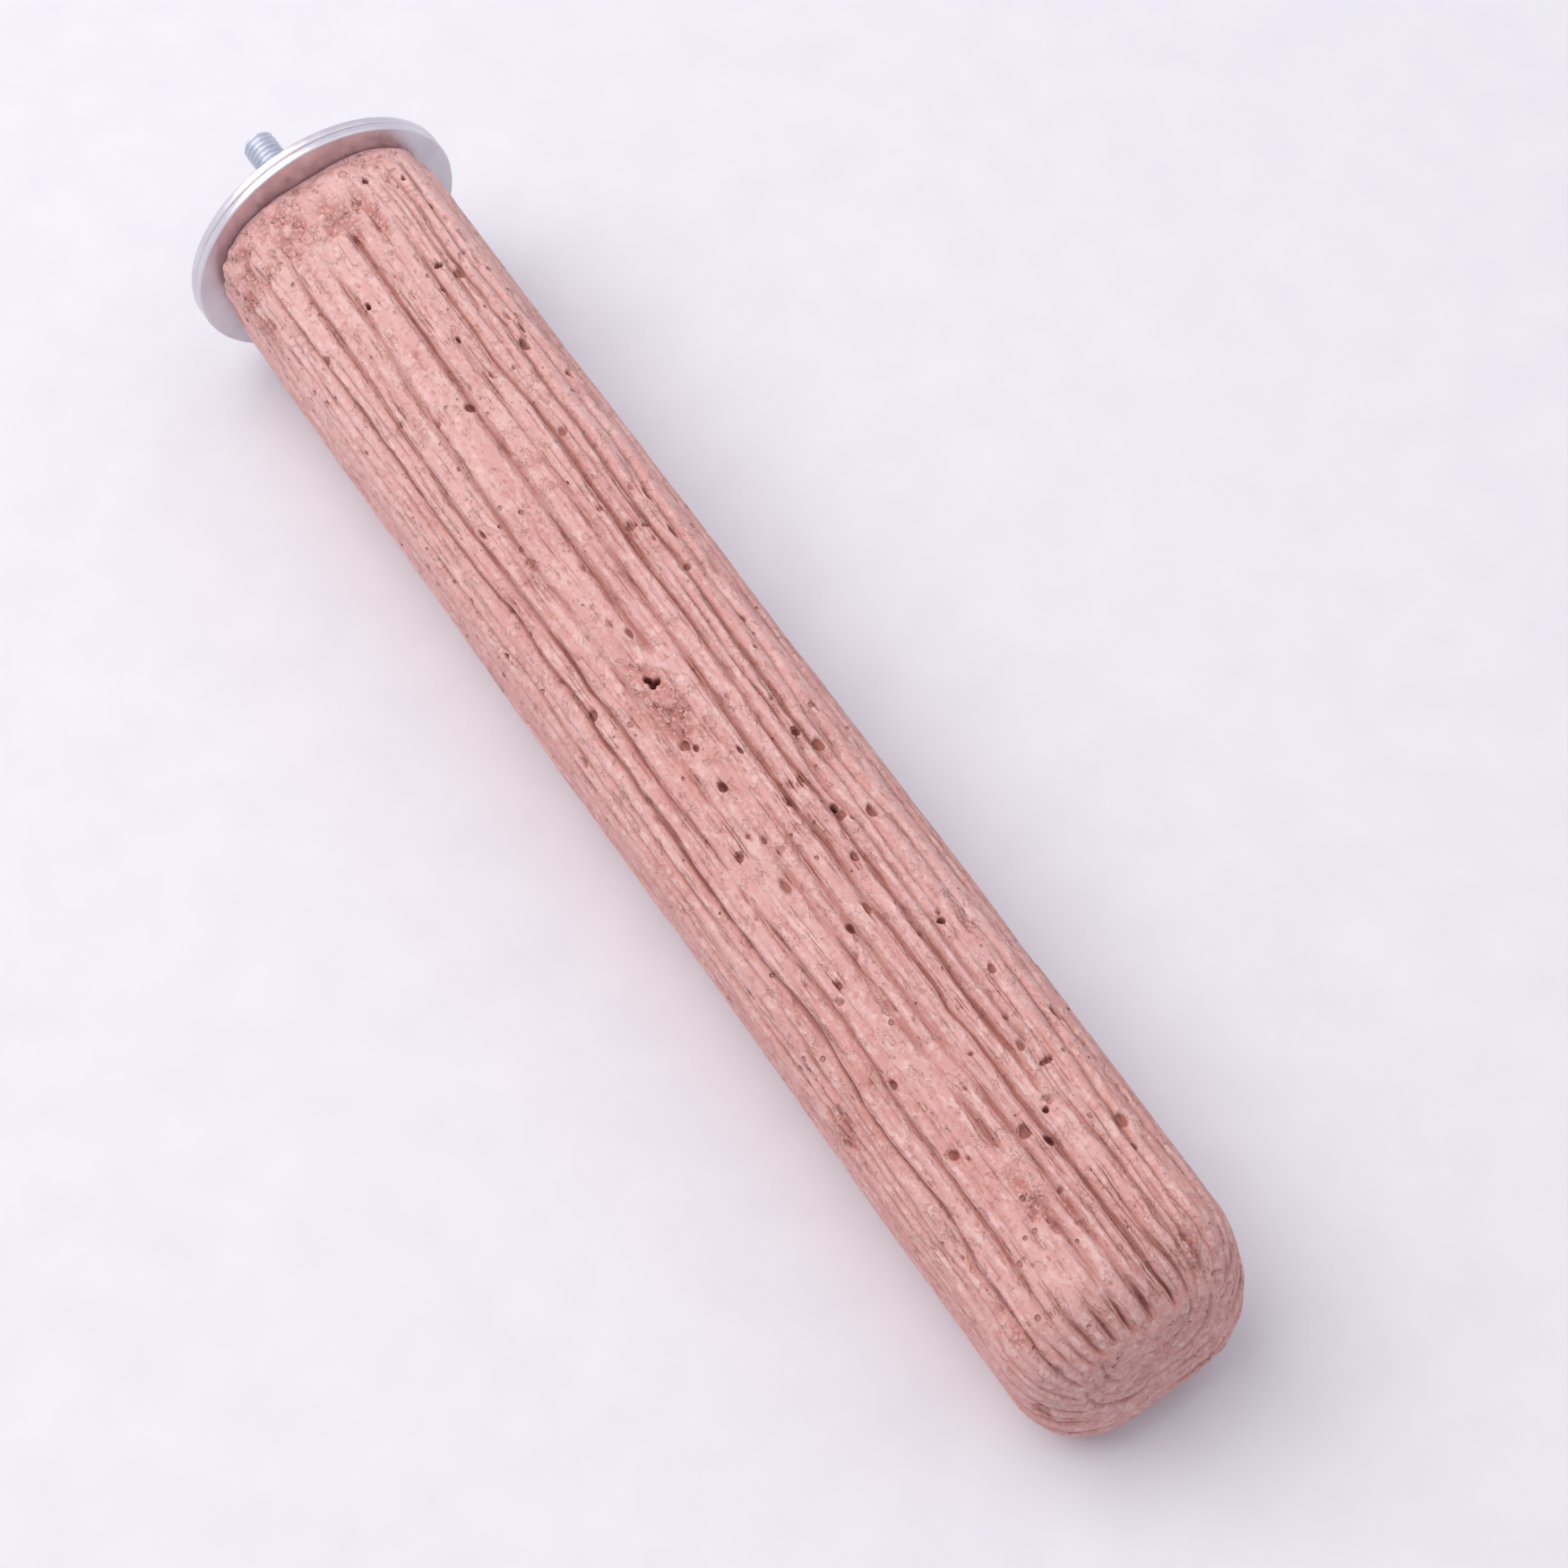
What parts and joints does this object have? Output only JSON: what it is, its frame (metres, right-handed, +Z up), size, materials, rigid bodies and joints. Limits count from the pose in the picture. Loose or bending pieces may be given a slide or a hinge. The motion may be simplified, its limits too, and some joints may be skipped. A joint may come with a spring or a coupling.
{
  "type": "bird perch",
  "caption": "Cast cement bird perch with a weathered wood-grain surface, clamped to a cage wall by a threaded stud, two wide washers and a wing nut.",
  "frame": {"origin": "on the stud's axis, where the two clamp washers meet and the cage wall goes", "axes": "+X along the bar, away from the cage wall; +Z up in use; +Y to the left of the bar as seen from the cage"},
  "size_m": [0.27, 0.05, 0.05],
  "materials": {
    "cement": "matte cast cement, wood-grain surface",
    "stud_zinc": "zinc plated, rolled thread",
    "anchor_zinc": "zinc plated",
    "washer_zinc": "bright zinc plated, pressed from sheet",
    "wing_nut_zinc": "zinc plated casting"
  },
  "bodies": {
    "perch": {"perch_body": "cement", "threaded_stud": "stud_zinc", "front_anchor_nut": "anchor_zinc", "anchor_washer": "anchor_zinc", "rear_anchor_nut": "anchor_zinc"},
    "inner_washer": {"inner_washer": "washer_zinc"},
    "outer_washer": {"outer_washer": "washer_zinc"},
    "wing_nut": {"wing_nut": "wing_nut_zinc"}
  },
  "joints": [
    {"name": "inner_washer_spin", "type": "hinge", "parent": "perch", "child": "inner_washer", "pos_m": [0, 0, 0], "axis": [1, 0, 0], "continuous": true},
    {"name": "outer_washer_slide", "type": "slide", "parent": "perch", "child": "outer_washer", "axis": [-1, 0, 0], "range_m": [0, 0.012]},
    {"name": "wing_nut_spin", "type": "hinge", "parent": "outer_washer", "child": "wing_nut", "pos_m": [0, 0, 0], "axis": [-1, 0, 0], "range_deg": [0, 4320]}
  ],
  "couplings": [
    {"joint": "wing_nut_spin", "follows": "outer_washer_slide", "rad_per_m": 6283.2}
  ]
}
